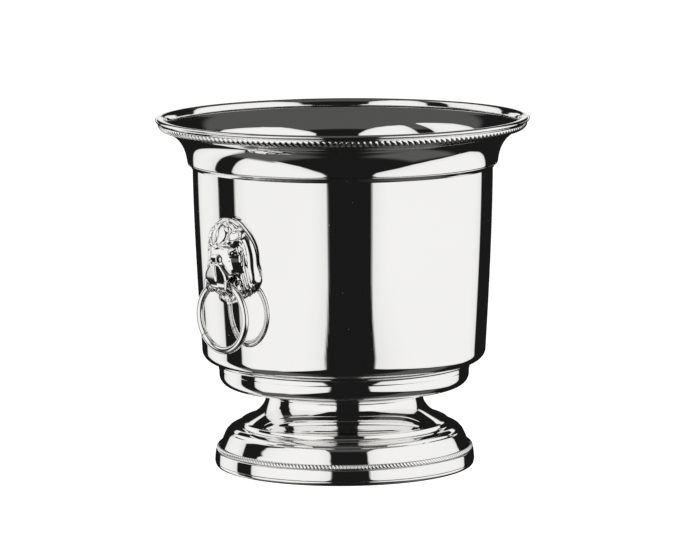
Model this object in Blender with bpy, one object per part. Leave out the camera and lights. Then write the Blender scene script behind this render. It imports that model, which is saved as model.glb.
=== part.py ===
"""Silver plated champagne bucket: a campana body on a spun pedestal foot, with two lion
masks that hold drop rings.

World frame: metres, +Z up along the bucket's axis, origin at the centre of its base.
The masks stand on -X (left) and +X (right); both rings swing about axes along Y.
Lengths below are in millimetres and become metres when a mesh is made.
"""
import math

import bmesh
import bpy
from mathutils import Matrix, Vector

MM = 0.001
SEGMENTS = 40            # steps round the bucket's axis
GAP = 0.3                # clearance between neighbouring pieces
SHEET = 1.2              # thickness of the spun sheet

# Drum: the tall wall
WALL_TOP_R = 88.3        # outer radius where the wall starts to taper
WALL_TAPER_Z = 176.0     # height where the taper starts
WALL_TAPER = 4.2         # how much the radius has lost at WALL_END_Z
WALL_END_Z = 75.0
DRUM_TOP_Z = 184.5       # upper edge, inside the collar
DRUM_FOOT_Z = 62.4       # underside of the turned-in shelf
CORNER_R, CORNER_Z = 75.8, 69.6
CORNER_A, CORNER_B = 8.0, 7.2
SHELF_R = 73.3

# Lower bowl
BOWL_R = 74.3
BOWL_CORNER = 6.9
BOWL_CORNER_R, BOWL_CORNER_Z = 67.0, 54.8
BOWL_TOP_Z = 62.1
BOWL_FLOOR_Z = 47.6      # underside of the floor
BOWL_FLANGE_R = 76.2

# Collar and rim
COLLAR_Z = 180.6
COLLAR_R = 91.4
RIM_R = 110.0
RIM_Z = 206.75

# Foot
NECK_R = 46.4
NECK_TOP_Z = 47.2
RIDGE_R = 61.6
SKIRT_R = 74.2
PLINTH_R = 76.9
BASE_FLAT_R = 75.1
BASE_INNER_R = 72.4

# Rings and their pivots in the masks' mouths
RING_R = 19.55           # radius of the wire's centre line
RING_WIRE_R = 2.15
HINGE_X = 95.6           # distance of the pivot from the bucket's axis
HINGE_Z = 117.35
HINGE_H = 9.2            # pivot's height over the wall

# Mask outline, one half, from the crown to the beard's tip: (sideways, up from the pivot)
MASK_OUTLINE = ((0.0, 37.6), (6.6, 36.4), (11.6, 32.6), (15.4, 28.2), (18.2, 23.2),
                (19.7, 17.6), (20.1, 11.6), (21.2, 5.6), (20.6, 0.8), (16.6, -4.4),
                (11.0, -8.4), (5.4, -11.4), (0.0, -12.4))
MASK_CENTRE_Z = 13.0     # up from the pivot
MASK_EDGE = 1.5          # thickness at the outline
SCREW_HEIGHTS = {"upper": HINGE_Z + 24.0, "lower": HINGE_Z + 8.5}
SCREW_R = 1.8
SCREW_REACH = 4.6        # how far a screw enters the mask


def material(name, colour, roughness):
    """A polished silver Principled material."""
    mat = bpy.data.materials.new(name)
    mat.use_nodes = True
    shader = mat.node_tree.nodes["Principled BSDF"]
    shader.inputs["Base Color"].default_value = (*colour, 1.0)
    shader.inputs["Metallic"].default_value = 1.0
    shader.inputs["Roughness"].default_value = roughness
    return mat


def finish(name, bm, mat, origin=(0.0, 0.0, 0.0)):
    """Makes the object of a bmesh in millimetres, whose points are relative to origin."""
    bmesh.ops.scale(bm, vec=Vector((MM, MM, MM)), verts=bm.verts)
    bmesh.ops.recalc_face_normals(bm, faces=bm.faces)
    mesh = bpy.data.meshes.new(name)
    bm.to_mesh(mesh)
    bm.free()
    mesh.shade_smooth()
    mesh.set_sharp_from_angle(angle=math.radians(35))
    mesh.materials.append(mat)
    obj = bpy.data.objects.new(name, mesh)
    obj.location = Vector(origin) * MM
    bpy.context.scene.collection.objects.link(obj)
    return obj


def spin_loop(bm, points, steps, axis=(0.0, 0.0, 1.0), centre=(0.0, 0.0, 0.0)):
    """Spins a closed loop of 3-D points one whole turn about an axis."""
    verts = [bm.verts.new(p) for p in points]
    edges = [bm.edges.new((verts[i], verts[(i + 1) % len(verts)])) for i in range(len(verts))]
    bmesh.ops.spin(bm, geom=verts + edges, cent=centre, axis=axis, dvec=(0.0, 0.0, 0.0),
                   angle=math.tau, steps=steps, use_merge=True, use_duplicate=False)
    bmesh.ops.remove_doubles(bm, verts=bm.verts, dist=0.0005)


def turned(name, profile, mat):
    """A piece turned about the bucket's axis from a closed (radius, height) profile."""
    bm = bmesh.new()
    spin_loop(bm, [(r, 0.0, z) for r, z in profile], SEGMENTS)
    return finish(name, bm, mat)


def ellipse(centre, a, b, start, end, steps):
    """Points on an elliptical arc, angles in degrees."""
    points = []
    for i in range(steps + 1):
        angle = math.radians(start + (end - start) * i / steps)
        points.append((centre[0] + a * math.cos(angle), centre[1] + b * math.sin(angle)))
    return points


def bezier(p0, p1, p2, p3, steps):
    """Points on a cubic curve."""
    points = []
    for i in range(steps + 1):
        t = i / steps
        u = 1.0 - t
        w = (u * u * u, 3 * u * u * t, 3 * u * t * t, t * t * t)
        points.append(tuple(sum(k * p[n] for k, p in zip(w, (p0, p1, p2, p3)))
                            for n in (0, 1)))
    return points


def wall_radius(z):
    """Outer radius of the drum's wall, which tapers gently downwards."""
    if z >= WALL_TAPER_Z:
        return WALL_TOP_R
    share = (WALL_TAPER_Z - z) / (WALL_TAPER_Z - WALL_END_Z)
    return WALL_TOP_R - WALL_TAPER * share ** 1.5


def drum_profile():
    """Wall, rounded bottom edge and turned-in shelf of one spun sheet."""
    heights = (DRUM_TOP_Z, 160.0, 143.0, 126.0, 109.0, 92.0, 80.0)
    outer = [(wall_radius(z), z) for z in heights]
    outer += ellipse((CORNER_R, CORNER_Z), CORNER_A, CORNER_B, 0, -90, 5)
    outer.append((SHELF_R, DRUM_FOOT_Z))
    inner = [(SHELF_R, DRUM_FOOT_Z + SHEET)]
    inner += ellipse((CORNER_R, CORNER_Z), CORNER_A - SHEET, CORNER_B - SHEET, -90, 0, 4)
    inner += [(wall_radius(z) - SHEET, z) for z in reversed(heights[::2])]
    return outer + inner


def lower_bowl_profile():
    """Flange under the drum, upright wall, round corner and flat floor."""
    outer = [(BOWL_FLANGE_R, BOWL_TOP_Z), (BOWL_FLANGE_R, BOWL_TOP_Z - 0.8),
             (BOWL_R, BOWL_TOP_Z - 1.4), (BOWL_R - 0.1, 57.0)]
    outer += ellipse((BOWL_CORNER_R, BOWL_CORNER_Z), BOWL_CORNER, BOWL_CORNER, 0, -90, 5)
    outer.append((57.0, BOWL_FLOOR_Z))
    outer.append((0.0, BOWL_FLOOR_Z))
    inner = [(0.0, BOWL_FLOOR_Z + SHEET)]
    inner += ellipse((BOWL_CORNER_R, BOWL_CORNER_Z), BOWL_CORNER - SHEET,
                     BOWL_CORNER - SHEET, -90, 0, 4)
    inner.append((BOWL_R - SHEET, BOWL_TOP_Z))
    return outer + inner


def collar_profile():
    """Flared lip: a thick lap over the drum's edge that thins into the flare."""
    outer = [(COLLAR_R - 0.1, COLLAR_Z)]
    outer += bezier((COLLAR_R, COLLAR_Z + 0.3), (92.2, 187.5), (94.5, 195.0),
                    (103.6, 199.3), 7)
    outer.append((107.6, 203.3))
    inner = [(106.9, 204.2)]
    inner += bezier((102.6, 200.9), (93.6, 196.6), (91.0, 190.5), (90.3, 185.6), 6)
    lap = WALL_TOP_R + GAP
    inner += [(lap, DRUM_TOP_Z + 0.4), (lap, COLLAR_Z)]
    return outer + inner


def rim_wire_profile():
    """Edge moulding: rounded outside, a flat slope inside that covers the flare's edge."""
    return [(108.3, 204.5), (109.7, 204.7), (RIM_R, 205.2), (RIM_R, 205.9),
            (109.6, 206.5), (108.9, RIM_Z), (108.2, 206.6), (104.2, 203.5),
            (104.05, 202.9), (104.13, 202.55), (106.69, 204.5), (107.4, 204.9)]


def gadroon_profile():
    """The rope strip's outer shape: a half-round that leans under the rim."""
    middle, half, bulge = Vector((106.5, 201.7)), 2.5, 1.35
    along, out = Vector((0.7071, 0.7071)), Vector((0.7071, -0.7071))
    points = []
    for i in range(6):
        angle = math.pi * i / 5
        at = middle + along * half * math.cos(angle) + out * bulge * math.sin(angle)
        points.append(tuple(at))
    return points


def fillet_profile():
    """Small moulding under the collar's lower edge."""
    r = WALL_TOP_R + GAP
    return [(r, COLLAR_Z - GAP), (91.2, COLLAR_Z - GAP), (90.8, 179.6), (89.6, 178.6),
            (88.9, 177.4), (r, 177.4)]


def neck_ring_profile():
    """Two-step moulding round the top of the foot, under the lower bowl."""
    r = NECK_R + 0.35
    return [(r, NECK_TOP_Z), (56.4, NECK_TOP_Z), (56.9, 46.6), (56.2, 45.9), (53.0, 45.6),
            (52.4, 44.7), (50.4, 43.6), (48.6, 43.2), (47.6, 42.3), (r, 42.3)]


def foot_profile():
    """Spun foot: flange, concave neck, ridge, cove, domed shoulder and skirt."""
    outer = [(38.0, NECK_TOP_Z), (NECK_R, NECK_TOP_Z)]
    outer += bezier((NECK_R, 41.0), (46.6, 36.5), (51.0, 29.8), (60.2, 27.2), 7)
    outer += [(RIDGE_R - 0.2, 26.7), (RIDGE_R, 25.2), (62.4, 24.2), (66.2, 23.6),
              (68.2, 22.3), (69.5, 20.7), (70.6, 19.4), (71.5, 17.4), (72.5, 15.0),
              (73.2, 13.4), (SKIRT_R - 0.1, 10.5), (SKIRT_R, 2.95)]
    inner = [(SKIRT_R - SHEET, 2.95), (SKIRT_R - SHEET - 0.1, 10.2), (72.0, 13.4),
             (70.2, 17.2), (67.8, 21.0), (65.6, 22.3), (61.2, 22.9), (60.2, 25.6)]
    inner += bezier((59.4, 26.0), (50.2, 28.6), (45.4, 35.5), (45.2, 41.0), 5)
    inner += [(45.2, 46.0), (38.0, 46.0)]
    return outer + inner


def foot_bead_profile():
    """Fine rope strip on the plinth's upper edge."""
    return [(73.6, 13.6), (74.3, 13.7), (75.3, 12.9), (75.9, 11.6), (76.0, 10.3),
            (75.8, 9.65), (SKIRT_R + 0.35, 9.65)]


def plinth_profile():
    """Upright band of the foot."""
    r = SKIRT_R + 0.35
    return [(r, 9.3), (76.0, 9.3), (76.4, 8.8), (76.75, 6.8), (PLINTH_R, 4.8),
            (PLINTH_R - 0.05, 2.95), (r, 2.95)]


def edge_wire_profile():
    """Rounded wire that the bucket stands on, flat underneath."""
    return [(BASE_INNER_R, 0.0), (BASE_FLAT_R, 0.0), (75.9, 0.5), (76.5, 1.4),
            (76.6, 2.65), (BASE_INNER_R, 2.65)]


def outline_points(count):
    """The mask's whole outline at evenly spaced angles, by a smooth curve."""
    half = [Vector(p) for p in MASK_OUTLINE]
    loop = half + [Vector((-p.x, p.y)) for p in reversed(half[1:-1])]
    dense = []
    for i in range(len(loop)):
        a, b, c, d = (loop[(i + k - 1) % len(loop)] for k in range(4))
        for s in range(8):
            t = s / 8
            dense.append(0.5 * ((2 * b) + (c - a) * t + (2 * a - 5 * b + 4 * c - d) * t * t
                                + (3 * b - a - 3 * c + d) * t ** 3))
    return [dense[int(i * len(dense) / count)] for i in range(count)]


def mask_height(side, up, inward):
    """Relief over the wall at a point of the mask; inward is 0 at its outline, 1 inside."""
    crown = MASK_EDGE + 4.2 * (1.0 - (1.0 - inward) ** 3)
    muzzle = 7.4 * math.exp(-((abs(side) / 8.8) ** 2.6 + (abs(up - 5.0) / 13.0) ** 3))
    brow = 2.4 * math.exp(-((side / 11.0) ** 2 + ((up - 24.0) / 5.0) ** 2))
    return crown + muzzle + brow


def on_wall(side, up, over):
    """World point, on the +X side, that lies over the wall's curve by a height."""
    radius = wall_radius(HINGE_Z + up) + GAP
    return (math.sqrt(radius * radius - side * side) + over, side, HINGE_Z + up)


def mask_body():
    """One mask on +X: rings of points from its outline to its middle, front and back."""
    bm = bmesh.new()
    outline = outline_points(32)
    middle = Vector((0.0, MASK_CENTRE_Z))

    def ring(scale, height):
        points = [middle + (p - middle) * scale for p in outline]
        return [bm.verts.new(on_wall(p.x, p.y, height(p.x, p.y))) for p in points]

    def bridge(one, two):
        for i in range(len(one)):
            j = (i + 1) % len(one)
            bm.faces.new((one[i], one[j], two[j], two[i]))

    loops = [ring(scale, lambda x, z: 0.0) for scale in (0.35, 0.7, 1.0)]
    loops += [ring(scale, lambda x, z, s=scale: mask_height(x, z, 1.0 - s))
              for scale in (1.0, 0.95, 0.86, 0.74, 0.62, 0.5, 0.38, 0.26, 0.13)]
    for one, two in zip(loops, loops[1:]):
        bridge(one, two)
    for loop, over in ((loops[0], 0.0), (loops[-1], mask_height(0.0, MASK_CENTRE_Z, 1.0))):
        tip = bm.verts.new(on_wall(0.0, MASK_CENTRE_Z, over))
        for i in range(len(loop)):
            bm.faces.new((loop[i], loop[(i + 1) % len(loop)], tip))
    return bm


def cutter(name, bm):
    """A hidden tool body for a Boolean."""
    obj = finish(name, bm, bpy.data.materials["tool"])
    obj.hide_render = True
    obj.display_type = "WIRE"
    return obj


def mouth_cutter(side):
    """Trumpet-ended passage along Y that the ring's wire turns in."""
    reach, steps = 11.5, 10
    points = []
    for i in range(steps + 1):
        y = -reach + 2 * reach * i / steps
        radius = RING_WIRE_R + 0.45 + RING_R - math.sqrt(RING_R ** 2 - y * y)
        points.append((side * HINGE_X, y, HINGE_Z + radius))
    centre = (side * HINGE_X, 0.0, HINGE_Z)
    points += [(side * HINGE_X, reach, HINGE_Z), (side * HINGE_X, -reach, HINGE_Z)]
    bm = bmesh.new()
    spin_loop(bm, points, 20, axis=(0.0, 1.0, 0.0), centre=centre)
    return cutter("mouth_tool_" + ("right" if side > 0 else "left"), bm)


def along_x(bm, profile, side, z, steps):
    """Spins an (x, radius) loop about the line along X at height z."""
    turn = math.pi / steps
    points = [(side * x, r * math.sin(turn), z + r * math.cos(turn)) for x, r in profile]
    spin_loop(bm, points, steps, axis=(1.0, 0.0, 0.0), centre=(0.0, 0.0, z))


def screw_hole_cutter(side):
    """Clearance for both screws, through the wall and into the mask."""
    bm = bmesh.new()
    for z in SCREW_HEIGHTS.values():
        start, end = wall_radius(z) - 6.0, wall_radius(z) + SCREW_REACH + 0.6
        along_x(bm, [(start, 0.0), (start, SCREW_R + GAP), (end, SCREW_R + GAP),
                     (end, 0.0)], side, z, 14)
    return cutter("screw_tool_" + ("right" if side > 0 else "left"), bm)


def subtract(obj, tool):
    """Cuts the tool out of the object."""
    mod = obj.modifiers.new("cut_" + tool.name, "BOOLEAN")
    mod.operation = "DIFFERENCE"
    mod.solver = "EXACT"
    mod.object = tool


def mask_screw(name, side, z, mat):
    """Round-head screw along X, its head inside the drum."""
    seat = wall_radius(z) - SHEET - 0.7 - 0.8 - GAP
    tip = wall_radius(z) + SCREW_REACH
    bm = bmesh.new()
    along_x(bm, [(tip, 0.0), (tip, SCREW_R), (seat, SCREW_R), (seat, 3.6),
                 (seat - 1.2, 3.4), (seat - 2.2, 2.2), (seat - 2.6, 0.0)], side, z, 12)
    finish(name, bm, mat)


def mask_washer(name, side, z, mat):
    """Flat washer between a screw's head and the wall."""
    face = wall_radius(z) - SHEET - 0.7
    bm = bmesh.new()
    along_x(bm, [(face, SCREW_R + GAP), (face, 4.6), (face - 0.8, 4.6),
                 (face - 0.8, SCREW_R + GAP)], side, z, 16)
    finish(name, bm, mat)


def drop_ring(name, side, mat):
    """Round wire ring hanging from its pivot; its origin is on the swing axis."""
    bm = bmesh.new()
    points = []
    for i in range(10):
        angle = math.tau * i / 10
        points.append((RING_WIRE_R * math.sin(angle), 0.0,
                       RING_WIRE_R * math.cos(angle)))
    spin_loop(bm, points, 36, axis=(1.0, 0.0, 0.0), centre=(0.0, 0.0, -RING_R))
    return finish(name, bm, mat, (side * HINGE_X, 0.0, HINGE_Z))


def main():
    for obj in list(bpy.data.objects):
        bpy.data.objects.remove(obj, do_unlink=True)
    material("tool", (0.5, 0.5, 0.5), 0.5)

    pieces = (("bucket_drum", drum_profile, 0.05), ("lower_bowl", lower_bowl_profile, 0.05),
              ("flared_collar", collar_profile, 0.05),
              ("collar_fillet_wire", fillet_profile, 0.08),
              ("rim_wire", rim_wire_profile, 0.08),
              ("rim_gadroon_border", gadroon_profile, 0.14),
              ("neck_ring", neck_ring_profile, 0.08), ("pedestal_foot", foot_profile, 0.05),
              ("foot_bead_border", foot_bead_profile, 0.14),
              ("foot_plinth_band", plinth_profile, 0.05),
              ("foot_edge_wire", edge_wire_profile, 0.08))
    silver = (0.93, 0.92, 0.90)
    made = {name: turned(name, profile(), material(name, silver, rough))
            for name, profile, rough in pieces}

    steel = (0.62, 0.62, 0.62)
    for label, side in (("left", -1), ("right", 1)):
        bm = mask_body()
        if side < 0:
            bmesh.ops.rotate(bm, verts=bm.verts, matrix=Matrix.Rotation(math.pi, 3, "Z"))
        mask = finish("lion_mask_" + label, bm,
                      material("lion_mask_" + label, silver, 0.12))
        holes = screw_hole_cutter(side)
        subtract(mask, mouth_cutter(side))
        subtract(mask, holes)
        subtract(made["bucket_drum"], holes)
        drop_ring("drop_ring_" + label, side,
                  material("drop_ring_" + label, silver, 0.06))

        for place, z in SCREW_HEIGHTS.items():
            end = f"{label}_{place}"
            mask_screw("mask_screw_" + end, side, z,
                       material("mask_screw_" + end, steel, 0.3))
            mask_washer("mask_washer_" + end, side, z,
                        material("mask_washer_" + end, steel, 0.3))


main()
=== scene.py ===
import math

import bmesh
import bpy
import numpy as np
from mathutils import Matrix, Vector


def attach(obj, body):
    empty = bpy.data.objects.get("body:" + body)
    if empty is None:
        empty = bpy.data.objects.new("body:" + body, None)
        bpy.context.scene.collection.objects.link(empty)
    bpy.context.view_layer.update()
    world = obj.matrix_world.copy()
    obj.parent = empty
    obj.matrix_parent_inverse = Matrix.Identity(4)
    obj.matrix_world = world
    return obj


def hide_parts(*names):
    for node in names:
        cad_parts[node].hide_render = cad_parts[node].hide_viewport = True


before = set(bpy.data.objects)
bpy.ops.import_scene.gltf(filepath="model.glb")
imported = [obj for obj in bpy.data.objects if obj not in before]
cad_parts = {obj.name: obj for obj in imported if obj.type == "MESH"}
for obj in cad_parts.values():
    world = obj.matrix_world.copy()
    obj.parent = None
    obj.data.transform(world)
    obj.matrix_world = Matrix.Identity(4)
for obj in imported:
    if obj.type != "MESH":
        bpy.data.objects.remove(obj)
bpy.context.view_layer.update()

MM = 0.001
MERGE = 0.002 * MM        # corners closer than this are one corner after a Boolean
BUCKET = "bucket"

# Shape constants in millimetres, as in the CAD part but for a slightly smaller bowl flange
WALL_TOP_R, WALL_TAPER, WALL_TAPER_Z, WALL_END_Z = 88.3, 4.2, 176.0, 75.0
DRUM_TOP_Z, DRUM_FOOT_Z, SHELF_R, SHEET = 184.5, 62.4, 73.3, 1.2
CORNER_R, CORNER_Z, CORNER_A, CORNER_B = 75.8, 69.6, 8.0, 7.2
BOWL_R, BOWL_TOP_Z, BOWL_FLOOR_Z, BOWL_FLANGE_R = 74.3, 62.1, 47.6, 75.3
BOWL_CORNER, BOWL_CORNER_R, BOWL_CORNER_Z = 6.9, 67.0, 54.8
COLLAR_Z, COLLAR_R, LAP_R = 180.6, 91.4, 88.6
NECK_R, NECK_TOP_Z, SKIRT_R, PLINTH_R = 46.4, 47.2, 74.2, 76.9
RING_R, RING_WIRE_R, HINGE_X, HINGE_Z = 19.55, 2.15, 95.6, 117.35
RIM_LOBES, FOOT_LOBES = 195, 216
SCREW_HEIGHTS, SCREW_R, SCREW_REACH = (HINGE_Z + 24.0, HINGE_Z + 8.5), 1.8, 4.6


# ---------------------------------------------------------------- materials
def silver(name, rough=(0.035, 0.075), speck=0.35, groove=None, wave=0.0):
    """Polished silver plate: swirl-polish haze, sparse dust specks and hairlines, with
    painted shade that darkens the grooves where the mesh stores a groove attribute."""
    mat = bpy.data.materials.new(name)
    mat.use_nodes = True
    nt = mat.node_tree
    nodes, links = nt.nodes, nt.links
    shader = nodes["Principled BSDF"]
    shader.inputs["Metallic"].default_value = 1.0

    def add(kind, **values):
        node = nodes.new(kind)
        for key, value in values.items():
            if key in node.inputs:
                node.inputs[key].default_value = value
            else:
                setattr(node, key, value)
        return node

    coords = add("ShaderNodeTexCoord")
    haze = add("ShaderNodeTexNoise", Scale=38.0, Detail=5.0, Roughness=0.6)
    links.new(coords.outputs["Object"], haze.inputs["Vector"])
    to_rough = add("ShaderNodeMapRange")
    to_rough.inputs["From Min"].default_value = 0.3
    to_rough.inputs["From Max"].default_value = 0.75
    to_rough.inputs["To Min"].default_value = rough[0]
    to_rough.inputs["To Max"].default_value = rough[1]
    links.new(haze.outputs["Fac"], to_rough.inputs["Value"])

    # sparse dust specks: small cells, of which few are let through
    dust = add("ShaderNodeTexVoronoi", Scale=320.0)
    links.new(coords.outputs["Object"], dust.inputs["Vector"])
    near = add("ShaderNodeMath", operation="LESS_THAN")
    links.new(dust.outputs["Distance"], near.inputs[0])
    near.inputs[1].default_value = 0.09
    pick = add("ShaderNodeSeparateColor")
    links.new(dust.outputs["Color"], pick.inputs["Color"])
    few = add("ShaderNodeMath", operation="GREATER_THAN")
    links.new(pick.outputs["Red"], few.inputs[0])
    few.inputs[1].default_value = 1.0 - 0.06 * speck
    specks = add("ShaderNodeMath", operation="MULTIPLY")
    links.new(near.outputs[0], specks.inputs[0])
    links.new(few.outputs[0], specks.inputs[1])
    rougher = add("ShaderNodeMath", operation="MULTIPLY_ADD")
    links.new(specks.outputs[0], rougher.inputs[0])
    rougher.inputs[1].default_value = 0.3
    links.new(to_rough.outputs["Result"], rougher.inputs[2])

    tone = add("ShaderNodeTexNoise", Scale=9.0, Detail=3.0)
    links.new(coords.outputs["Object"], tone.inputs["Vector"])
    ramp = add("ShaderNodeMix", data_type="RGBA")
    ramp.inputs[6].default_value = (0.955, 0.95, 0.94, 1.0)
    ramp.inputs[7].default_value = (0.90, 0.895, 0.885, 1.0)
    links.new(tone.outputs["Fac"], ramp.inputs[0])
    colour = ramp.outputs[2]
    roughness = rougher.outputs[0]
    # painted shade: the groove attribute darkens the base colour towards the groove value in
    # the grooves, where shade falls
    if groove:
        painted_groove_shade = add("ShaderNodeAttribute", attribute_name="groove")
        groove_shade_mix = add("ShaderNodeMix", data_type="RGBA")
        links.new(painted_groove_shade.outputs["Fac"], groove_shade_mix.inputs[0])
        links.new(colour, groove_shade_mix.inputs[6])
        groove_shade_mix.inputs[7].default_value = (groove, groove * 0.98, groove * 0.95, 1.0)
        colour = groove_shade_mix.outputs[2]
        dull = add("ShaderNodeMath", operation="MULTIPLY_ADD")
        links.new(painted_groove_shade.outputs["Fac"], dull.inputs[0])
        dull.inputs[1].default_value = 0.22
        links.new(roughness, dull.inputs[2])
        roughness = dull.outputs[0]
    links.new(colour, shader.inputs["Base Color"])
    links.new(roughness, shader.inputs["Roughness"])

    # polishing hairlines and a very slight unevenness of the spun sheet
    hair = add("ShaderNodeTexNoise", Scale=900.0, Detail=2.0)
    stretch = add("ShaderNodeMapping")
    stretch.inputs["Scale"].default_value = (0.06, 0.06, 1.0)
    links.new(coords.outputs["Object"], stretch.inputs["Vector"])
    links.new(stretch.outputs["Vector"], hair.inputs["Vector"])
    swell = add("ShaderNodeTexNoise", Scale=22.0, Detail=1.0)
    links.new(coords.outputs["Object"], swell.inputs["Vector"])
    total = add("ShaderNodeMath", operation="MULTIPLY_ADD")
    links.new(swell.outputs["Fac"], total.inputs[0])
    total.inputs[1].default_value = wave
    fine = add("ShaderNodeMath", operation="MULTIPLY")
    links.new(hair.outputs["Fac"], fine.inputs[0])
    fine.inputs[1].default_value = 0.012
    links.new(fine.outputs[0], total.inputs[2])
    bump = add("ShaderNodeBump", Strength=1.0, Distance=0.00006)
    links.new(total.outputs[0], bump.inputs["Height"])
    links.new(bump.outputs["Normal"], shader.inputs["Normal"])
    return mat


def steel(name):
    """Plain steel of the hidden fixings: greyer, with a patchy tarnish."""
    mat = bpy.data.materials.new(name)
    mat.use_nodes = True
    nt = mat.node_tree
    shader = nt.nodes["Principled BSDF"]
    shader.inputs["Metallic"].default_value = 1.0
    coords = nt.nodes.new("ShaderNodeTexCoord")
    patch = nt.nodes.new("ShaderNodeTexNoise")
    patch.inputs["Scale"].default_value = 420.0
    nt.links.new(coords.outputs["Object"], patch.inputs["Vector"])
    colour = nt.nodes.new("ShaderNodeValToRGB")
    colour.color_ramp.elements[0].color = (0.30, 0.29, 0.27, 1.0)
    colour.color_ramp.elements[1].color = (0.55, 0.54, 0.52, 1.0)
    nt.links.new(patch.outputs["Fac"], colour.inputs["Fac"])
    nt.links.new(colour.outputs["Color"], shader.inputs["Base Color"])
    rough = nt.nodes.new("ShaderNodeMapRange")
    rough.inputs["To Min"].default_value = 0.22
    rough.inputs["To Max"].default_value = 0.42
    nt.links.new(patch.outputs["Fac"], rough.inputs["Value"])
    nt.links.new(rough.outputs["Result"], shader.inputs["Roughness"])
    return mat


# ---------------------------------------------------------------- mesh helpers
def finish_mesh(name, bm, mat, node, body=BUCKET, origin=(0, 0, 0), angle=40.0):
    """Mesh in millimetres to a named object that replaces a CAD node."""
    bmesh.ops.recalc_face_normals(bm, faces=bm.faces)
    mesh = bpy.data.meshes.new(name)
    bmesh.ops.scale(bm, vec=Vector((MM, MM, MM)), verts=bm.verts)
    bm.to_mesh(mesh)
    bm.free()
    mesh.shade_smooth()
    mesh.set_sharp_from_angle(angle=math.radians(angle))
    mesh.materials.append(mat)
    obj = bpy.data.objects.new(name, mesh)
    obj.location = Vector(origin) * MM
    bpy.context.scene.collection.objects.link(obj)
    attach(obj, body)
    if node:
        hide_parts(node)
    return obj


def ellipse(centre, a, b, start, end, steps):
    angles = np.radians(np.linspace(start, end, steps + 1))
    return [(centre[0] + a * math.cos(t), centre[1] + b * math.sin(t)) for t in angles]


def bezier(p0, p1, p2, p3, steps):
    out = []
    for t in np.linspace(0.0, 1.0, steps + 1):
        w = ((1 - t) ** 3, 3 * (1 - t) ** 2 * t, 3 * (1 - t) * t * t, t ** 3)
        out.append(tuple(sum(k * p[n] for k, p in zip(w, (p0, p1, p2, p3)))
                         for n in (0, 1)))
    return out


def rounded(points, radius, steps=4):
    """The closed outline with its corners rounded; a point may carry its own radius."""
    out, count = [], len(points)
    for i in range(count):
        here = points[i]
        r = here[2] if len(here) > 2 else radius
        p = Vector(here[:2])
        a, b = Vector(points[i - 1][:2]), Vector(points[(i + 1) % count][:2])
        if r <= 0:
            out.append(tuple(p))
            continue
        reach = min(r, 0.45 * (a - p).length, 0.45 * (b - p).length)
        one, two = p + (a - p).normalized() * reach, p + (b - p).normalized() * reach
        for s in range(steps + 1):
            t = s / steps
            out.append(tuple(one * (1 - t) ** 2 + p * 2 * t * (1 - t) + two * t * t))
    return out


def turned(name, profile, mat, segments=288, angle=40.0):
    """A piece turned about the bucket's axis from a closed (radius, height) outline."""
    bm = bmesh.new()
    rings = []
    turn = [(math.cos(math.tau * i / segments), math.sin(math.tau * i / segments))
            for i in range(segments)]
    for r, z in profile:
        if r < 1e-6:
            rings.append([bm.verts.new((0.0, 0.0, z))])
        else:
            rings.append([bm.verts.new((r * c, r * s, z)) for c, s in turn])
    for k in range(len(rings)):
        one, two = rings[k], rings[(k + 1) % len(rings)]
        if len(one) == 1 and len(two) == 1:
            continue
        for i in range(segments):
            j = (i + 1) % segments
            corners = []
            for v in (one[i % len(one)], one[j % len(one)], two[j % len(two)],
                      two[i % len(two)]):
                if v not in corners:
                    corners.append(v)
            bm.faces.new(corners)
    return finish_mesh(name, bm, mat, name, angle=angle)


def wall_radius(z):
    if z >= WALL_TAPER_Z:
        return WALL_TOP_R
    share = (WALL_TAPER_Z - z) / (WALL_TAPER_Z - WALL_END_Z)
    return WALL_TOP_R - WALL_TAPER * share ** 1.5


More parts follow.
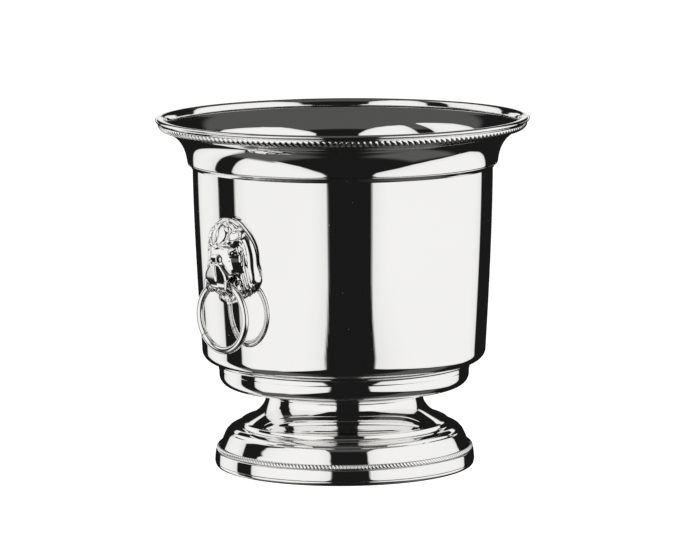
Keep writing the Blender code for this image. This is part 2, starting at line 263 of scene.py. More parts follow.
# ---------------------------------------------------------------- turned pieces
def build_turned():
    heights = list(np.linspace(DRUM_TOP_Z, 72.0, 30))
    corner = ellipse((CORNER_R, CORNER_Z), CORNER_A, CORNER_B, 0, -90, 18)
    inner = ellipse((CORNER_R, CORNER_Z), CORNER_A - SHEET, CORNER_B - SHEET, -90, 0, 12)
    drum = [(wall_radius(z), z) for z in heights] + corner
    drum += [(SHELF_R, DRUM_FOOT_Z), (SHELF_R, DRUM_FOOT_Z + SHEET)] + inner
    drum += [(wall_radius(z) - SHEET, z) for z in reversed(heights)]
    wall = turned("bucket_drum", drum, silver("polished_drum", (0.012, 0.03), 0.5, wave=0.2))

    bowl = rounded([(BOWL_R - SHEET, BOWL_TOP_Z), (BOWL_FLANGE_R, BOWL_TOP_Z, 0.3),
                    (BOWL_FLANGE_R, BOWL_TOP_Z - 0.8, 0.35), (BOWL_R, BOWL_TOP_Z - 1.4, 0.4),
                    (BOWL_R - 0.1, 57.0, 1.5)], 0.0)
    bowl += ellipse((BOWL_CORNER_R, BOWL_CORNER_Z), BOWL_CORNER, BOWL_CORNER, 0, -90, 16)
    bowl += [(57.0, BOWL_FLOOR_Z), (0.0, BOWL_FLOOR_Z), (0.0, BOWL_FLOOR_Z + SHEET)]
    bowl += ellipse((BOWL_CORNER_R, BOWL_CORNER_Z), BOWL_CORNER - SHEET,
                    BOWL_CORNER - SHEET, -90, 0, 12)
    turned("lower_bowl", bowl, silver("polished_bowl", (0.012, 0.03), 0.5, wave=0.2))

    collar = [(COLLAR_R - 0.3, COLLAR_Z), (COLLAR_R - 0.05, COLLAR_Z + 0.15)]
    collar += bezier((COLLAR_R, COLLAR_Z + 0.35), (92.2, 187.5), (94.5, 195.0),
                     (103.6, 199.3), 26)
    collar += [(107.6, 203.3), (106.9, 204.2)]
    collar += bezier((102.6, 200.9), (93.6, 196.6), (91.0, 190.5), (90.3, 185.6), 24)
    collar += [(LAP_R + 0.4, DRUM_TOP_Z + 0.5), (LAP_R, DRUM_TOP_Z + 0.4), (LAP_R, COLLAR_Z)]
    turned("flared_collar", collar, silver("polished_collar", (0.012, 0.03), 0.5, wave=0.2))

    trim = silver("polished_trim", (0.03, 0.07), 0.3)
    rim = rounded([(108.3, 204.5), (109.5, 204.6), (110.0, 205.3, 0.5), (110.0, 205.9, 0.5),
                   (109.3, 206.7, 0.7), (107.5, 206.75, 0.8), (105.3, 206.5, 0.9),
                   (104.75, 205.4, 0.9), (104.1, 203.3, 0.3), (104.05, 202.9),
                   (104.13, 202.55), (106.69, 204.5), (107.4, 204.9)], 0.15)
    turned("rim_wire", rim, trim)

    fillet = rounded([(LAP_R, COLLAR_Z - 0.3), (91.3, COLLAR_Z - 0.3, 0.25),
                      (91.1, 179.75, 0.3), (89.7, 178.7, 0.5), (89.3, 178.1, 0.3),
                      (88.95, 177.4, 0.15), (LAP_R, 177.4)], 0.0)
    turned("collar_fillet_wire", fillet, trim)

    r = NECK_R + 0.35
    neck = rounded([(r, NECK_TOP_Z), (56.2, NECK_TOP_Z, 0.2), (57.0, 46.7, 0.5),
                    (56.2, 45.75, 0.4), (53.4, 45.7, 0.15), (53.2, 44.9, 0.5),
                    (52.0, 43.7, 0.6), (49.0, 43.4, 0.3), (47.7, 42.3, 0.3), (r, 42.3)], 0.1)
    turned("neck_ring", neck, trim)

    foot = [(38.0, NECK_TOP_Z), (NECK_R, NECK_TOP_Z)]
    foot += bezier((NECK_R, 41.0), (46.6, 36.5), (51.0, 29.8), (60.2, 27.2), 26)
    foot += rounded([(60.2, 27.2, 0.0), (61.45, 26.6, 0.35), (61.6, 25.3, 0.3),
                     (62.4, 24.1, 0.5), (66.0, 23.6, 0.8), (68.4, 22.3, 1.1),
                     (69.3, 21.0, 0.2), (70.0, 20.5, 0.25), (70.6, 19.4, 0.5),
                     (71.5, 17.4, 0.9), (72.5, 15.0, 1.0), (73.2, 13.4, 0.8),
                     (74.1, 10.5, 0.5), (SKIRT_R, 2.95, 0.0)], 0.3)[1:]
    foot += [(SKIRT_R - SHEET, 2.95), (SKIRT_R - SHEET - 0.1, 10.2), (72.0, 13.4),
             (70.2, 17.2), (67.8, 21.0), (65.6, 22.3), (61.2, 22.9), (60.2, 25.6)]
    foot += bezier((59.4, 26.0), (50.2, 28.6), (45.4, 35.5), (45.2, 41.0), 14)
    foot += [(45.2, 46.0), (38.0, 46.0)]
    turned("pedestal_foot", foot, silver("polished_foot", (0.012, 0.035), 0.7, wave=0.2))

    r = SKIRT_R + 0.35
    plinth = rounded([(r, 9.3), (76.0, 9.3, 0.3), (76.35, 8.8, 0.5), (76.6, 6.8, 1.5),
                      (PLINTH_R - 0.12, 4.8, 1.0), (PLINTH_R, 2.95, 0.1), (r, 2.95)], 0.1)
    turned("foot_plinth_band", plinth, silver("polished_plinth", (0.012, 0.03), 0.5))
    edge = rounded([(72.4, 0.0, 0.2), (75.1, 0.0, 0.3), (75.9, 0.4, 0.6), (76.6, 1.4, 0.8),
                    (76.6, 2.65, 0.4), (72.4, 2.65, 0.2)], 0.2)
    turned("foot_edge_wire", edge, trim)
    return wall


# ---------------------------------------------------------------- rope borders
def rope(name, middle, half, bulge, lean, lobes, slant, mat, steps=10, depth=0.62):
    """A strip of slanted lobes round the axis. Its section is a half-round that leans
    outwards; each lobe swells from a groove that slants across the strip."""
    lean = math.radians(lean)
    along = Vector((math.cos(lean), math.sin(lean)))
    out = Vector((math.sin(lean), -math.cos(lean)))
    count = lobes * steps
    bm = bmesh.new()
    groove = bm.verts.layers.float.new("groove")
    rows = []
    profile = np.linspace(0.0, math.pi, 13)
    for n in range(count):
        turn = math.tau * n / count
        ring = []
        for a in profile:
            across = math.cos(a)
            phase = math.pi * (n / steps + slant * across * 0.5)
            swell = abs(math.sin(phase)) ** 0.62
            high = bulge * math.sin(a) * (1.0 - depth + depth * swell)
            p = Vector(middle) + along * half * across + out * high
            v = bm.verts.new((p.x * math.cos(turn), p.x * math.sin(turn), p.y))
            # mask for the painted shade: strongest in the groove between two lobes
            v[groove] = max(0.0, 1.0 - swell * 1.5) * math.sin(a)
            ring.append(v)
        rows.append(ring)
    for n in range(count):
        one, two = rows[n], rows[(n + 1) % count]
        for k in range(len(one) - 1):
            bm.faces.new((one[k], one[k + 1], two[k + 1], two[k]))
        bm.faces.new((one[-1], one[0], two[0], two[-1]))
    return finish_mesh(name, bm, mat, name, angle=75.0)


def build_ropes():
    # groove=0.12 is the colour of the painted shade in the grooves between the lobes
    rope("rim_gadroon_border", (106.5, 201.7), 2.5, 1.35, 45.0, RIM_LOBES, 0.9,
         silver("polished_gadroon", (0.04, 0.09), 0.2, groove=0.12))
    rope("foot_bead_border", (75.0, 10.95), 1.4, 0.85, 112.0, FOOT_LOBES, 0.8,
         silver("polished_beads", (0.04, 0.09), 0.2, groove=0.12), steps=8)


# ---------------------------------------------------------------- lion masks
MASK_OUTLINE = ((0.0, 37.6), (6.6, 36.4), (11.6, 32.6), (15.4, 28.2), (18.2, 23.2),
                (19.7, 17.6), (20.1, 11.6), (21.2, 5.6), (20.6, 0.8), (16.6, -4.4),
                (11.0, -8.4), (5.4, -11.4), (0.0, -12.4))
MASK_MIDDLE = 13.0
GAP, PASSAGE_PLAY, PASSAGE_REACH = 0.3, 0.45, 12.0
LIP_R, LIP_Y, LIP_RADIAL, LIP_AXIAL = 4.9, 8.6, 1.05, 1.3


def smooth_path(points, steps):
    """Catmull-Rom curve through the points."""
    p = [points[0]] + list(points) + [points[-1]]
    out = []
    for i in range(1, len(p) - 2):
        a, b, c, d = (np.array(q, dtype=float) for q in p[i - 1:i + 3])
        for t in np.arange(steps) / steps:
            out.append(0.5 * (2 * b + (c - a) * t + (2 * a - 5 * b + 4 * c - d) * t * t
                              + (3 * b - a - 3 * c + d) * t ** 3))
    out.append(np.array(points[-1], dtype=float))
    return np.array(out)


def along_stroke(u, v, points, steps=9):
    """Distance from each point to a curved stroke, its side, and how far along it lies."""
    path = smooth_path(points, steps)
    best, share, sign = np.full(u.shape, 1e9), np.zeros(u.shape), np.ones(u.shape)
    for i in range(len(path) - 1):
        d = path[i + 1] - path[i]
        t = np.clip(((u - path[i][0]) * d[0] + (v - path[i][1]) * d[1]) / (d @ d), 0.0, 1.0)
        ex, ey = u - path[i][0] - t * d[0], v - path[i][1] - t * d[1]
        dist = np.hypot(ex, ey)
        near = dist < best
        best = np.where(near, dist, best)
        share = np.where(near, (i + t) / (len(path) - 1), share)
        sign = np.where(near, np.sign(d[0] * ey - d[1] * ex), sign)
    return best, sign, share


def smax(a, b, k):
    """Largest of two heights, blended over about k."""
    h = np.clip(0.5 + 0.5 * (a - b) / k, 0.0, 1.0)
    return b + (a - b) * h + k * h * (1.0 - h)


def bump(u, v, at, size, power=1.0):
    q = ((u - at[0]) / size[0]) ** 2 + ((v - at[1]) / size[1]) ** 2
    return np.exp(-q ** power)


def lock(h, u, v, points, width, rise, strands=2, fine=0.012):
    """A lock of hair: a rounded ridge that tapers to its tip, with strands along it and a
    groove along each side."""
    dist, side, share = along_stroke(u, v, points)
    w = width * (0.45 + 0.55 * np.sin(np.pi * np.clip(share * 0.9 + 0.06, 0, 1)) ** 0.7)
    q = dist / w
    ridge = np.clip(1.0 - q ** 4, 0.0, 1.0) ** 0.7
    hairs = fine * np.cos(math.tau * strands * side * q) * np.clip(1.0 - q, 0.0, 1.0) ** 0.5
    cut = 0.8 * np.exp(-((q - 1.1) / (0.28 / w ** 0.5)) ** 2)
    return h + rise * ridge + hairs - cut * np.minimum(rise, 1.0)


def table(v, rows):
    keys, values = [r[0] for r in rows], [r[1] for r in rows]
    return sum(np.interp(v + d, keys, values) for d in np.linspace(-1.3, 1.3, 7)) / 7.0


def mask_relief(s, v, inward):
    """Height over the wall. s is to the side, v up from the ring's pivot, inward the
    distance from the outline, all in millimetres."""
    u = np.abs(s)
    bend = u * u / 173.0
    h = 1.3 + 2.9 * (1.0 - np.exp(-inward / 1.8)) + 1.2 * (1.0 - np.exp(-inward / 7.0))

    # mane: long locks that sweep from the crown down both sides like a hood
    for points, width, rise in (
            (((-1.5, 35.6), (6.6, 33.9), (12.0, 29.6), (15.8, 23.8), (17.9, 17.0),
              (18.4, 10.4), (19.3, 5.0), (19.4, 1.4)), 2.3, 1.5),
            (((11.6, 26.6), (14.0, 21.6), (15.0, 16.0), (15.2, 10.0), (16.4, 3.6),
              (16.8, -1.8)), 1.35, 1.7),
            (((10.4, 24.2), (12.2, 20.4), (12.9, 15.6), (13.0, 10.4), (13.4, 5.0),
              (14.4, -0.4), (14.2, -4.6)), 1.25, 1.9),
            (((12.2, 3.4), (12.5, -0.6), (11.8, -5.6)), 1.15, 1.5),
            (((10.4, -1.6), (9.8, -4.8), (8.4, -7.6)), 1.2, 1.2)):
        h = lock(h, u, v, points, width, rise)

    # beard under the chin, its tip curling to one side
    lean = s - 0.030 * np.clip(-v - 2.0, 0.0, None) ** 2

    # skull and bridge of the nose: a broad flat top with steep sides
    top = table(v, ((-14, 2), (8, 9.4), (13, 13.0), (16, 13.3), (20, 13.0), (23, 12.4),
                    (27, 11.4), (31, 10.0), (34, 8.4), (36, 6.4), (38, 3.6)))
    wide = table(v, ((8, 9.5), (12, 9.0), (15, 7.4), (18, 7.0), (22, 8.4), (26, 9.2),
                     (30, 9.0), (34, 7.6), (37, 5.0)))
    over = np.logaddexp(0.0, (u - wide) / 0.55) * 0.55
    skull = top + bend - 0.34 * np.minimum(u, wide) - 1.22 * over
    h = smax(h, skull, 0.5)

    # cheeks either side of the muzzle
    top = table(v, ((-4, 6.0), (0, 9.6), (4, 11.0), (9, 11.6), (13, 11.6), (16, 10.5)))
    wide = table(v, ((-4, 8.4), (0, 9.2), (5, 9.8), (9, 11.0), (15, 9.0)))
    over = np.logaddexp(0.0, (u - wide) / 0.4) * 0.4
    end = np.logaddexp(0.0, (v - 14.5) / 0.8) * 0.8
    h = smax(h, top + bend - 0.10 * u - 1.35 * over - 0.8 * end, 0.4)

    # muzzle: a nearly flat front, slightly dished, that widens from the nose to the jaw
    top = table(v, ((-14, 1.2), (-12, 2.8), (-9, 5.2), (-6.5, 7.4), (-4, 9.9), (-2, 12.0),
                    (0, 13.2), (3, 13.8), (8, 14.1), (12, 14.3), (14, 13.6)))
    wide = table(v, ((-12, 1.5), (-8, 4.2), (-5, 6.6), (-2, 8.4), (1, 9.1), (5, 9.0),
                     (8, 7.2), (10, 5.2), (13, 3.2)))
    over = np.logaddexp(0.0, (u - wide) / 0.32) * 0.32
    end = np.logaddexp(0.0, (v - 13.5) / 0.6) * 0.6
    front = top + bend + 0.055 * np.minimum(u, wide) - 2.0 * over - 1.2 * end
    h = smax(h, front, 0.3)

    # nose, nostrils and the cleft of the lip
    h = smax(h, 15.0 * np.ones_like(u) + bend - 1.5 * (np.clip(u - 2.4, 0.0, None)) ** 1.3
             - 0.9 * np.clip(np.abs(v - 14.2) - 1.2, 0.0, None) ** 1.4, 0.5)
    h += 0.8 * bump(u, v, (3.7, 12.6), (1.2, 1.3))
    h -= 1.3 * bump(u, v, (2.0, 11.9), (0.9, 0.6))
    h -= 0.7 * np.exp(-(u / 0.42) ** 2) * np.clip((v - 1.5) / 3.0, 0.0, 1.0) \
        * np.clip((12.0 - v) / 1.5, 0.0, 1.0)

    def ridge(points, width, rise):
        dist = along_stroke(u, v, points)[0]
        return rise * np.exp(-(dist / width) ** 2)

    # beard strands over the chin
    for points, width, rise in (
            (((7.0, -4.0), (5.4, -7.2), (2.8, -9.8)), 1.3, 0.9),
            (((3.0, -4.6), (2.4, -7.6), (0.8, -10.6)), 1.2, 0.9)):
        h = lock(h, np.abs(lean), v, points, width, rise, 1)

    # fold from the nostril to the corner of the mouth, with the cheek's edge above it
    h -= ridge(((4.6, 12.2), (6.9, 9.6), (9.2, 7.2), (11.6, 5.0), (12.6, 3.2)), 0.5, 0.9)
    h += ridge(((5.4, 13.0), (7.9, 10.2), (10.2, 7.9), (12.4, 6.0)), 0.8, 0.75)
    h -= ridge(((5.6, -2.6), (3.0, -3.6), (0.0, -3.9)), 0.5, 0.7)

    # brow, eye and lids
    h += ridge(((0.6, 21.4), (4.0, 22.6), (8.0, 22.8), (11.4, 21.2), (13.0, 18.6)), 1.1, 1.2)
    h -= ridge(((2.6, 20.6), (6.4, 20.9), (9.0, 20.6)), 0.6, 0.5)
    h -= 1.0 * bump(u, v, (9.8, 18.6), (2.7, 1.9))
    h += 1.3 * bump(u, v, (10.0, 18.4), (1.5, 1.0), 1.6)
    h += ridge(((7.8, 18.2), (9.6, 20.0), (12.2, 18.9)), 0.45, 0.75)
    h += ridge(((7.8, 17.8), (9.8, 16.8), (12.0, 17.8)), 0.45, 0.75)

    # forelocks that part at the middle and fall on the brow
    for points, width, rise in (
            (((0.8, 34.0), (2.6, 31.0), (3.0, 28.0), (2.0, 24.8)), 2.9, 0.8),
            (((5.0, 33.4), (8.0, 30.4), (8.4, 27.4), (7.0, 24.6)), 2.0, 0.9)):
        h = lock(h, u, v, points, width, rise, 1)

    # ear: a round cup with a curl inside
    r = np.hypot((u - 10.9) / 0.95, (v - 28.2) / 1.15)
    h += 1.5 * np.exp(-((r - 2.5) / 0.75) ** 2) - 2.3 * np.exp(-(r / 1.75) ** 4)
    h += ridge(((10.2, 26.8), (10.5, 28.2), (11.4, 29.2)), 0.5, 1.5)
    return np.minimum(h, 15.7)


def mask_shape(front, back):
    """Grid of mask points: sideways, up from the pivot, and out from the axis. Its rows run
    from the back's middle over the edge to the front's middle."""
    outline = smooth_path(list(MASK_OUTLINE) + [(-x, y) for x, y in MASK_OUTLINE[-2::-1]], 20)
    outline = outline[:-1]
    reach = np.hypot(outline[:, 0], outline[:, 1] - MASK_MIDDLE)
    scales = np.concatenate([back, front])[:, None]
    s = outline[:, 0] * scales
    v = MASK_MIDDLE + (outline[:, 1] - MASK_MIDDLE) * scales
    inward = (1.0 - scales) * reach
    # the casting's detail is softened a little, and more over the crown
    blur = 0.25 + 0.3 * np.clip((v - 24.0) / 4.0, 0.0, 1.0)
    over = 0.28 * mask_relief(s, v, inward)
    for side, up in ((1, 0), (0, 1), (-1, 0), (0, -1)):
        over = over + 0.18 * mask_relief(s + blur * side, v + blur * up, inward)
    over[:len(back)] = 0.0
    wall = np.vectorize(wall_radius)(HINGE_Z + v) + GAP
    flat = np.sqrt(wall * wall - s * s)
    room = HINGE_X - RING_WIRE_R - PASSAGE_PLAY - flat          # leaves the hanging ring clear
    room = room + 3.0 * np.clip(11.5 - abs(s), 0.0, None) + 1.5 * np.clip(v - 2.0, 0, None)
    return s, v, flat + np.minimum(over, room)


def build_masks(drum):
    front = np.concatenate([np.linspace(1.0, 0.93, 9), np.linspace(0.92, 0.012, 92)])
    s, v, x = mask_shape(front, np.array([0.02, 0.5, 0.97]))
    for label, side in (("left", -1), ("right", 1)):
        mat = silver("polished_mask_" + label, (0.05, 0.10), 0.15)
        # s runs to the viewer's right when the mask is looked at from outside
        rows = np.stack([side * x, side * s, HINGE_Z + v], axis=-1)
        bm = bmesh.new()
        rings = [[bm.verts.new(p) for p in row] for row in rows]
        for one, two in zip(rings, rings[1:]):
            for i in range(len(one)):
                j = (i + 1) % len(one)
                bm.faces.new((one[i], one[j], two[j], two[i]))
        bm.faces.new(rings[0][::-1])
        bm.faces.new(rings[-1])
        # raised lips round the passage's two ends, then the passage itself
        mask = finish_mesh("lion_mask_" + label, bm, mat, "lion_mask_" + label, angle=60.0)
        for end in (-1, 1):
            carve(mask, spun_y("lip", [(LIP_R + LIP_RADIAL * math.cos(t),
                                         end * LIP_Y + LIP_AXIAL * math.sin(t))
                                        for t in np.linspace(0, math.tau, 17)[:-1]],
                               side, 48), "UNION")
        profile = [(RING_WIRE_R + PASSAGE_PLAY + RING_R - math.sqrt(RING_R ** 2 - y * y), y)
                   for y in np.linspace(-PASSAGE_REACH, PASSAGE_REACH, 25)]
        profile += [(0.0, PASSAGE_REACH), (0.0, -PASSAGE_REACH)]
        carve(mask, spun_y("passage", profile, side, 48), "DIFFERENCE")
        carve(mask, screw_holes(side), "DIFFERENCE")
        carve(drum, screw_holes(side), "DIFFERENCE", 40.0)


def lathe(bm, profile, place, steps):
    """Adds a body turned from a closed (radius, along) loop; place sets it in space."""
    rings = []
    for r, along in profile:
        count = 1 if r < 1e-6 else steps
        rings.append([bm.verts.new(place(along, r * math.cos(math.tau * k / steps),
                                         r * math.sin(math.tau * k / steps)))
                      for k in range(count)])
    for one, two in zip(rings, rings[1:] + rings[:1]):
        for i in range(steps):
            j = (i + 1) % steps
            corners = []
            for vert in (one[i % len(one)], one[j % len(one)], two[j % len(two)],
                         two[i % len(two)]):
                if vert not in corners:
                    corners.append(vert)
            if len(corners) > 2:
                bm.faces.new(corners)


def tool_body(name, bm):
    bmesh.ops.recalc_face_normals(bm, faces=bm.faces)
    bmesh.ops.scale(bm, vec=Vector((MM, MM, MM)), verts=bm.verts)
    mesh = bpy.data.meshes.new(name)
    bm.to_mesh(mesh)
    bm.free()
    mesh.shade_smooth()
    tool = bpy.data.objects.new(name, mesh)
    bpy.context.scene.collection.objects.link(tool)
    return tool


def spun_y(name, profile, side, steps):
    """A tool body turned about the ring's hinge line from (radius, y) points."""
    bm = bmesh.new()
    lathe(bm, profile, lambda y, a, b: (side * HINGE_X + a, y, HINGE_Z + b), steps)
    return tool_body(name, bm)


def screw_holes(side):
    """Clearance for both screws, through the wall and into the mask."""
    bm = bmesh.new()
    for z in SCREW_HEIGHTS:
        start, end = wall_radius(z) - 6.0, wall_radius(z) + SCREW_REACH + 0.6
        lathe(bm, [(0.0, start), (SCREW_R + GAP, start), (SCREW_R + GAP, end), (0.0, end)],
              lambda x, a, b, z=z: (side * x, a, z + b), 24)
    return tool_body("screw_holes", bm)


def build_fixings():
    """Slotted round-head screws with flat washers, inside the drum behind each mask."""
    for label, side in (("left", -1), ("right", 1)):
        for end, z in zip(("upper", "lower"), SCREW_HEIGHTS):
            name = label + "_" + end
            wall = wall_radius(z)
            tip, seat = wall + SCREW_REACH, wall - SHEET - 1.8
            place = (lambda x, a, b, z=z: (side * x, a, z + b))
            bm = bmesh.new()
            dome = [(3.55 * math.cos(t), seat - 0.9 - 1.7 * math.sin(t))
                    for t in np.linspace(0.0, math.pi / 2, 9)[:-1]]
            lathe(bm, [(0.0, tip), (1.3, tip), (SCREW_R, tip - 0.5), (SCREW_R, seat),
                       (3.4, seat), (3.6, seat - 0.2)] + dome + [(0.0, seat - 2.6)],
                  place, 36)
            screw = finish_mesh("mask_screw_" + name, bm, steel("screw_steel_" + name),
                                "mask_screw_" + name, angle=35.0)
            bm = bmesh.new()
            box = bmesh.ops.create_cube(bm, size=1.0)["verts"]
            lean = Matrix.Rotation(0.4 if end == "upper" else -0.7, 4, "X")
            for v in box:
                p = lean @ Vector((v.co.x * 2.4, v.co.y * 9.0, v.co.z * 0.9))
                v.co = (side * (seat - 2.7) + p.x, p.y, z + p.z)
            carve(screw, tool_body("slot", bm), "DIFFERENCE", 35.0)
            bm = bmesh.new()
            face, hole = wall - SHEET - 0.7, SCREW_R + GAP
            lathe(bm, [(hole, face), (4.5, face), (4.6, face - 0.1), (4.6, face - 0.65),
                       (4.45, face - 0.8), (hole, face - 0.8)], place, 48)
            finish_mesh("mask_washer_" + name, bm, steel("washer_steel_" + name),
                        "mask_washer_" + name, angle=35.0)


def carve(obj, tool, operation, angle=60.0):
    """Applies a Boolean with a tool body, then drops the tool."""
    mod = obj.modifiers.new(operation, "BOOLEAN")
    mod.operation, mod.object, mod.solver = operation, tool, "EXACT"
    bpy.context.view_layer.update()
    graph = bpy.context.evaluated_depsgraph_get()
    done = bpy.data.meshes.new_from_object(obj.evaluated_get(graph), depsgraph=graph)
    obj.modifiers.clear()
    bm = bmesh.new()
    bm.from_mesh(done)
    bmesh.ops.remove_doubles(bm, verts=bm.verts, dist=MERGE)
    bmesh.ops.dissolve_degenerate(bm, edges=bm.edges, dist=MERGE)
    loose = [v for v in bm.verts if not v.link_faces]
    bmesh.ops.delete(bm, geom=loose, context="VERTS")
    open_edges = [e for e in bm.edges if len(e.link_faces) == 1]
    bmesh.ops.holes_fill(bm, edges=open_edges, sides=0)
    bm.to_mesh(done)
    bm.free()
    obj.data = done
    done.shade_smooth()
    done.set_sharp_from_angle(angle=math.radians(angle))
    bpy.data.objects.remove(tool)


# ---------------------------------------------------------------- rings
def build_rings():
    for label, side in (("left", -1), ("right", 1)):
        # groove=0.15 is the colour of the painted shade in the seam's nick
        mat = silver("polished_ring_" + label, (0.09, 0.16), 0.3, groove=0.15)
        bm = bmesh.new()
        groove = bm.verts.layers.float.new("groove")
        major, minor = 200, 28
        seam = math.radians(128.0)
        rows = []
        for i in range(major):
            turn = math.tau * i / major
            off = abs((turn - seam + math.pi) % math.tau - math.pi) * RING_R
            nick = math.exp(-(off / 0.22) ** 2)
            r = RING_WIRE_R * (1.0 - 0.07 * nick)
            ring = []
            for k in range(minor):
                a = math.tau * k / minor
                radial = RING_R + r * math.cos(a)
                v = bm.verts.new((r * math.sin(a), radial * math.sin(turn),
                                  radial * math.cos(turn) - RING_R))
                # mask for the painted shade in the seam's nick
                v[groove] = nick
                ring.append(v)
            rows.append(ring)
        for i in range(major):
            one, two = rows[i], rows[(i + 1) % major]
            for k in range(minor):
                bm.faces.new((one[k], one[(k + 1) % minor], two[(k + 1) % minor], two[k]))
        finish_mesh("drop_ring_" + label, bm, mat, "drop_ring_" + label, "ring_" + label,
                    (side * HINGE_X, 0.0, HINGE_Z))


# ---------------------------------------------------------------- stage
VIEW_AZ = -43.1
TENT_R = 0.6           # the cloth panels stand in a round tent, metres from the axis


def heading(left):
    """Unit vector from the bucket towards a point this far left of the camera, degrees."""
    a = math.radians(VIEW_AZ - left)
    return Vector((math.sin(a), -math.cos(a), 0.0))


def lit_cloth(name, outline, place, step, soft, glow, fade=0.0, fade_over=1.0):
    """A glowing cloth panel, seen only in the silver. Its outline is cut from a flat grid
    with rounded, soft edges, and place() bends the grid into the tent."""
    pts = np.array(outline, dtype=float)
    lo, hi = pts.min(0) - soft, pts.max(0) + soft
    us = np.arange(lo[0], hi[0] + step[0], step[0])
    vs = np.arange(lo[1], hi[1] + step[1], step[1])
    grid_u, grid_v = np.meshgrid(us, vs)
    inside = np.zeros(grid_u.shape, dtype=bool)
    dist = np.full(grid_u.shape, 1e9)
    for p, q in zip(pts, np.roll(pts, -1, axis=0)):
        d = q - p
        t = np.clip(((grid_u - p[0]) * d[0] + (grid_v - p[1]) * d[1]) / (d @ d), 0.0, 1.0)
        dist = np.minimum(dist, np.hypot(grid_u - p[0] - t * d[0], grid_v - p[1] - t * d[1]))
        crosses = (p[1] > grid_v) != (q[1] > grid_v)
        side = (q[0] - p[0]) * (grid_v - p[1]) / ((q[1] - p[1]) or 1e-9) + p[0]
        inside ^= crosses & (grid_u < side)
    dist = np.where(inside, dist, -dist)
    edge = np.clip(dist / soft + 0.5, 0.0, 1.0)
    edge = edge * edge * (3.0 - 2.0 * edge)
    depth = np.clip(dist / fade_over, 0.0, 1.0)
    level = glow * edge * (1.0 - fade * (1.0 - depth) ** 2)
    bm = bmesh.new()
    layer = bm.verts.layers.float.new("glow")
    made = {}
    for i in range(len(vs) - 1):
        for j in range(len(us) - 1):
            corners = ((i, j), (i, j + 1), (i + 1, j + 1), (i + 1, j))
            if max(level[c] for c in corners) <= 0.0:
                continue
            face = []
            for c in corners:
                if c not in made:
                    made[c] = bm.verts.new(place(grid_u[c], grid_v[c]))
                    made[c][layer] = level[c]
                face.append(made[c])
            bm.faces.new(face)
    mesh = bpy.data.meshes.new(name)
    bm.to_mesh(mesh)
    bm.free()
    mat = bpy.data.materials.new(name)
    mat.use_nodes = True
    nt = mat.node_tree
    nt.nodes.remove(nt.nodes["Principled BSDF"])
    light = nt.nodes.new("ShaderNodeEmission")
    stored = nt.nodes.new("ShaderNodeAttribute")
    stored.attribute_name = "glow"
    clear = nt.nodes.new("ShaderNodeBsdfTransparent")
    both = nt.nodes.new("ShaderNodeAddShader")
    veil = nt.nodes.new("ShaderNodeMath")
    veil.operation = "SUBTRACT"
    veil.use_clamp = True
    veil.inputs[0].default_value = 1.0
    scaled = nt.nodes.new("ShaderNodeMath")
    scaled.operation = "DIVIDE"
    scaled.inputs[1].default_value = glow
    nt.links.new(stored.outputs["Fac"], light.inputs["Strength"])
    nt.links.new(stored.outputs["Fac"], scaled.inputs[0])
    nt.links.new(scaled.outputs[0], veil.inputs[1])
    nt.links.new(veil.outputs[0], clear.inputs["Color"])
    nt.links.new(light.outputs[0], both.inputs[0])
    nt.links.new(clear.outputs[0], both.inputs[1])
    nt.links.new(both.outputs[0], nt.nodes["Material Output"].inputs["Surface"])
    mat.cycles.emission_sampling = "NONE"
    mesh.materials.append(mat)
    cloth = bpy.data.objects.new(name, mesh)
    bpy.context.scene.collection.objects.link(cloth)
    for flag in ("camera", "diffuse", "transmission", "shadow", "volume_scatter"):
        setattr(cloth, "visible_" + flag, False)
    return cloth


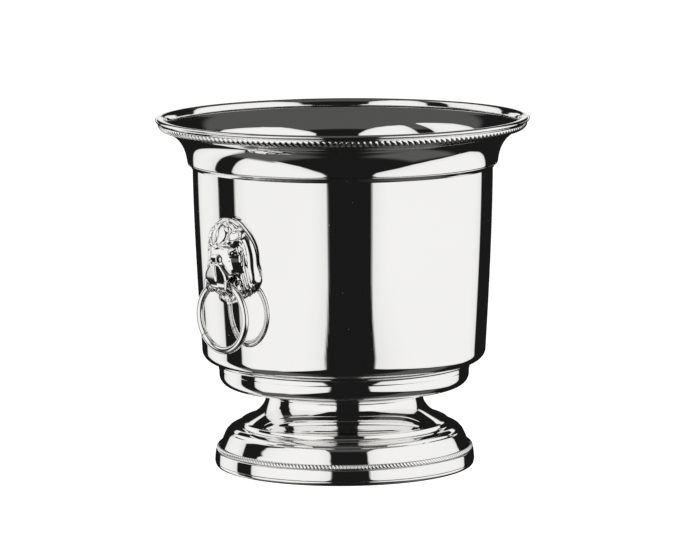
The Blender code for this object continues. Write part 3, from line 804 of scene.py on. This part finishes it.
def build_tent():
    """Cloth outlines in decimetres; the walls' are typed as (degrees left, height)."""
    degree = math.radians(TENT_R * 10.0)

    def wall(along, height):
        return heading(along / degree) * TENT_R + Vector((0.0, 0.0, height * 0.1))

    def bent(corners):
        return [(left * degree, height) for left, height in corners]

    def flat(z):
        def place(u, v):
            # u to the left and v towards the camera, decimetres
            return heading(90.0) * (u * 0.1) + heading(0.0) * (v * 0.1) + Vector((0, 0, z))
        return place

    scaled = {"step": (0.12, 0.12), "soft": 0.16, "fade": 0.13, "fade_over": 1.5}
    lit_cloth("tent_left_front", bent([
        (11, 1.0), (11, 0.0), (12, -0.4), (15, -0.85), (22, -1.5), (34, -2.8), (52, -4.2),
        (72, -5.5),
        (87, -6.0), (91, -5.2), (88, -3.5), (85.5, -1.0), (85, 2.2), (78, 3.4), (66, 4.5),
        (64, 9.0), (60, 9.6), (45, 9.0), (31, 7.7), (21, 6.0), (14, 4.0)]),
        wall, glow=0.95, **scaled)
    lit_cloth("tent_left_rear", bent([
        (104, 1.0), (104.5, -1.0), (107, -3.0), (111, -5.4), (116, -6.2), (134, -6.2),
        (138, -5.2), (139, 1.0), (139, 4.5), (135, 6.2), (126, 8.0), (112, 9.4), (98, 10.5),
        (86, 11.0), (83.5, 10.0), (84, 4.6), (98, 3.4), (108, 2.2)]),
        wall, glow=0.93, **scaled)
    lit_cloth("tent_right", bent([
        (-20.5, 1.2), (-20.5, 0.0), (-21.2, -0.35), (-24, -0.75), (-30, -1.05), (-42, -1.6),
        (-56, -2.4), (-74, -3.0),
        (-92, -3.1), (-108, -3.0), (-120, -2.5), (-125, -1.4), (-125.5, 4.9), (-121, 6.2),
        (-102, 7.5), (-80, 8.4), (-62, 8.4), (-50, 7.6), (-39, 6.4), (-29, 5.4),
        (-22.5, 4.2)]),
        wall, glow=0.95, **scaled)
    for label, start, end in (("left", 143.0, 177.0), ("right", -177.0, -129.0)):
        lit_cloth("tent_back_" + label,
                  bent([(start, 2.2), (end, 2.2), (end, 2.75), (start, 2.75)]), wall,
                  glow=0.9, step=(0.12, 0.12), soft=0.1)
    lit_cloth("tent_roof", [(-15, -15), (15, -15), (15, 15), (-15, 15)], flat(1.32),
              glow=0.09, step=(0.8, 0.8), soft=4.0)
    lit_cloth("table_sheen_left", [(1.2, 1.8), (5.0, 3.0), (6.0, -1.5), (2.0, -2.0)],
              flat(-0.35), glow=0.10, step=(0.3, 0.3), soft=1.2)
    lit_cloth("table_sheen_right", [(-1.2, 1.8), (-5.0, 3.0), (-6.0, -1.5), (-2.0, -2.0)],
              flat(-0.35), glow=0.10, step=(0.3, 0.3), soft=1.2)


def build_stage():
    bm = bmesh.new()
    bmesh.ops.create_grid(bm, x_segments=2, y_segments=2, size=15.0)
    mesh = bpy.data.meshes.new("floor")
    bm.to_mesh(mesh)
    bm.free()
    floor = bpy.data.objects.new("floor", mesh)
    bpy.context.scene.collection.objects.link(floor)
    mat = bpy.data.materials.new("pale_floor")
    mat.use_nodes = True
    shader = mat.node_tree.nodes["Principled BSDF"]
    shader.inputs["Base Color"].default_value = (0.92, 0.92, 0.92, 1.0)
    shader.inputs["Roughness"].default_value = 0.9
    shader.inputs["Specular IOR Level"].default_value = 0.1
    shader.inputs["Emission Color"].default_value = (1.0, 1.0, 1.0, 1.0)
    shader.inputs["Emission Strength"].default_value = 1.0
    mesh.materials.append(mat)
    floor.visible_glossy = False
    floor.visible_shadow = False

    world = bpy.data.worlds.new("studio")
    bpy.context.scene.world = world
    world.use_nodes = True
    nt = world.node_tree
    back = nt.nodes["Background"]
    path = nt.nodes.new("ShaderNodeLightPath")
    mix = nt.nodes.new("ShaderNodeMix")
    mix.data_type = "RGBA"
    mix.inputs[6].default_value = (0.011, 0.011, 0.011, 1.0)
    mix.inputs[7].default_value = (1.0, 1.0, 1.0, 1.0)
    nt.links.new(path.outputs["Is Camera Ray"], mix.inputs[0])
    nt.links.new(mix.outputs[2], back.inputs["Color"])
    back.inputs["Strength"].default_value = 1.0

    data = bpy.data.lights.new("overhead_fill", "AREA")
    data.shape = "RECTANGLE"
    data.size, data.size_y = 3.0, 3.0
    data.energy = 14.0
    fill = bpy.data.objects.new("overhead_fill", data)
    bpy.context.scene.collection.objects.link(fill)
    fill.location = (0.0, 0.0, 2.0)
    fill.visible_glossy = False
    fill.visible_camera = False


def build_camera():
    """The camera that the photograph's circles fit: 2.55 m away, long lens, looking down."""
    distance, height = 2.5541, 0.4684
    pitch, yaw, roll = (math.radians(a) for a in (7.899, 0.0862, -0.3837))
    forward = Vector((math.sin(yaw) * math.cos(pitch), math.cos(yaw) * math.cos(pitch),
                      -math.sin(pitch)))
    right = Vector((math.cos(yaw), -math.sin(yaw), 0.0))
    up = right.cross(forward)
    right, up = (right * math.cos(roll) + up * math.sin(roll),
                 up * math.cos(roll) - right * math.sin(roll))
    turn = Matrix.Rotation(math.radians(VIEW_AZ), 4, "Z")
    pose = Matrix((right, up, -forward)).transposed().to_4x4()
    pose.translation = Vector((0.0, -distance, height))
    data = bpy.data.cameras.new("camera")
    data.sensor_width = 36.0
    data.lens = 4369.0 / 700.0 * 36.0
    data.clip_end = 50.0
    camera = bpy.data.objects.new("camera", data)
    bpy.context.scene.collection.objects.link(camera)
    camera.matrix_world = turn @ pose
    bpy.context.scene.camera = camera


drum_piece = build_turned()
build_ropes()
build_masks(drum_piece)
build_fixings()
build_rings()
build_stage()
build_tent()
build_camera()
bpy.context.scene.view_settings.view_transform = "Standard"
